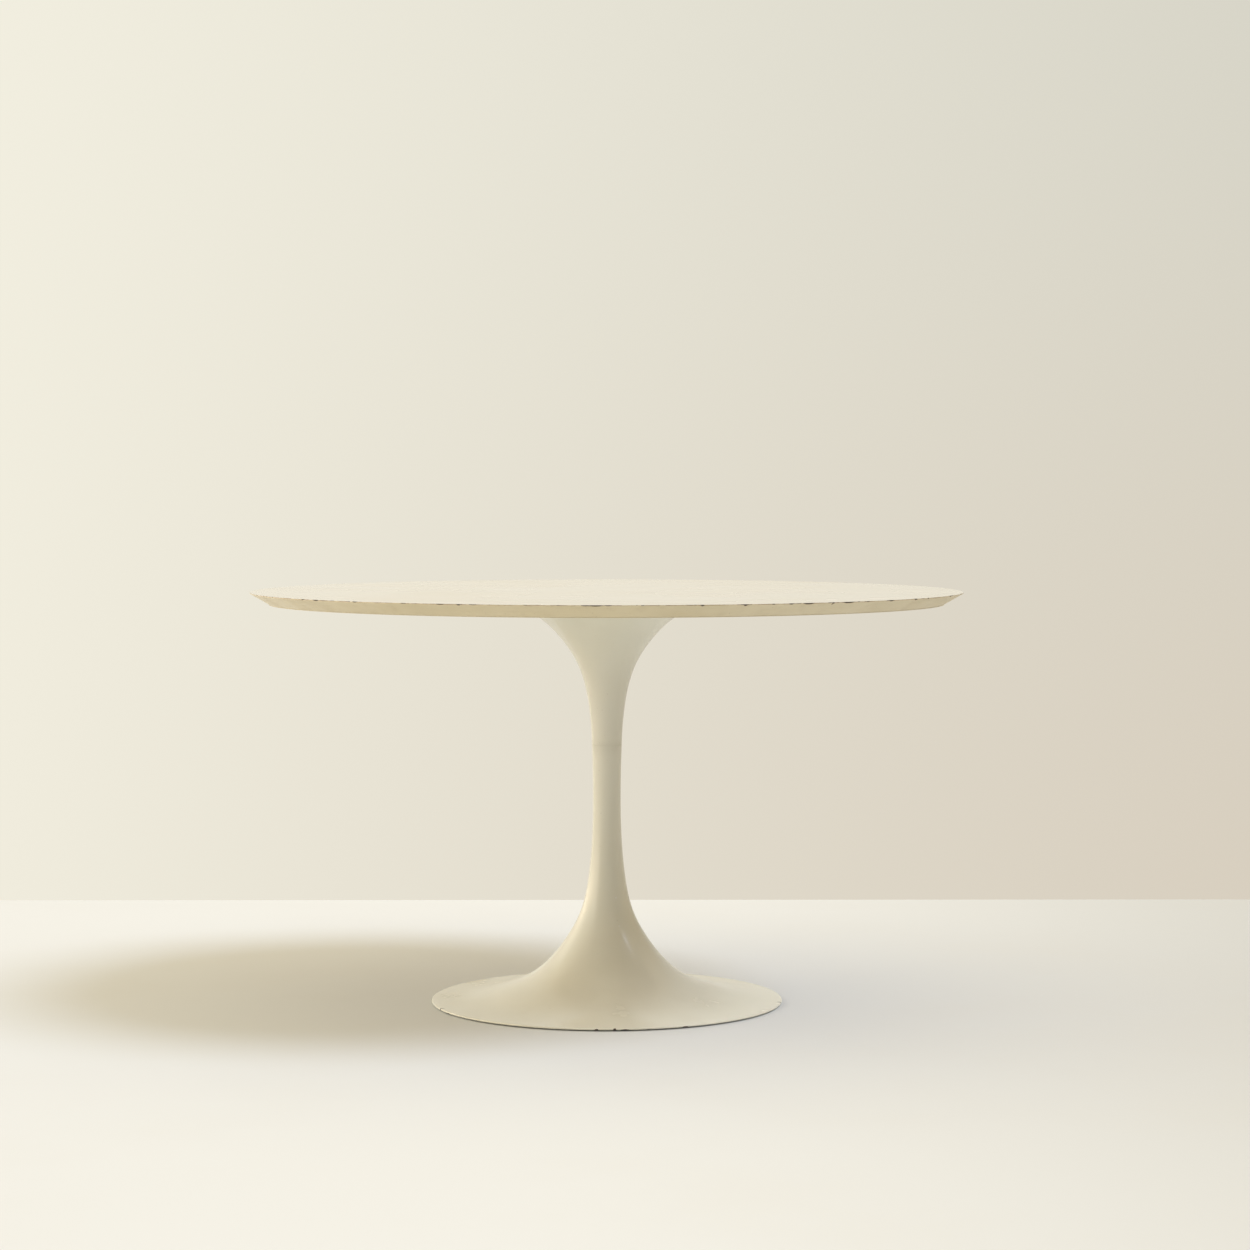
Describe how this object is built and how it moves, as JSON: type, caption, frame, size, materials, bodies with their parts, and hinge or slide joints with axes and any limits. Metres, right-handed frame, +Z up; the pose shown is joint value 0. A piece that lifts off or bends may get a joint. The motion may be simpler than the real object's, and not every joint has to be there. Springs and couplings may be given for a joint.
{
  "type": "round pedestal table",
  "caption": "Round white laminate table with a bevelled painted edge on a trumpet-shaped cast pedestal that flares out to a broad thin-rimmed foot.",
  "frame": {"origin": "on the floor at the centre of the table", "axes": "+Z up along the pedestal's axis; the table is round, so +X and +Y are any two level directions at a right angle, with the glides halfway between them"},
  "size_m": [1.2198, 1.22, 0.71],
  "materials": {
    "white_laminate": "satin",
    "painted_board": "satin",
    "backing_laminate": "matte",
    "cream_enamel": "gloss",
    "black_steel": "satin",
    "zinc_steel": "satin",
    "nylon": "matte"
  },
  "bodies": {
    "table": {"top_laminate": "white_laminate", "top_board": "painted_board", "backing_sheet": "backing_laminate", "top_spider": "black_steel", "spider_screws": "zinc_steel", "neck_casting": "cream_enamel", "foot_casting": "cream_enamel", "tie_rod": "zinc_steel", "hub_lock_washer": "zinc_steel", "hub_lock_nut": "zinc_steel", "foot_washer": "zinc_steel", "foot_lock_washer": "zinc_steel", "foot_nut": "zinc_steel"},
    "glide_1": {"glide_pad_1": "nylon", "glide_stud_1": "zinc_steel"},
    "glide_2": {"glide_pad_2": "nylon", "glide_stud_2": "zinc_steel"},
    "glide_3": {"glide_pad_3": "nylon", "glide_stud_3": "zinc_steel"},
    "glide_4": {"glide_pad_4": "nylon", "glide_stud_4": "zinc_steel"}
  },
  "joints": [
    {"name": "glide_1_height", "type": "slide", "parent": "table", "child": "glide_1", "axis": [0, 0, -1], "range_m": [-0.0015, 0.005]},
    {"name": "glide_2_height", "type": "slide", "parent": "table", "child": "glide_2", "axis": [0, 0, -1], "range_m": [-0.0015, 0.005]},
    {"name": "glide_3_height", "type": "slide", "parent": "table", "child": "glide_3", "axis": [0, 0, -1], "range_m": [-0.0015, 0.005]},
    {"name": "glide_4_height", "type": "slide", "parent": "table", "child": "glide_4", "axis": [0, 0, -1], "range_m": [-0.0015, 0.005]}
  ]
}
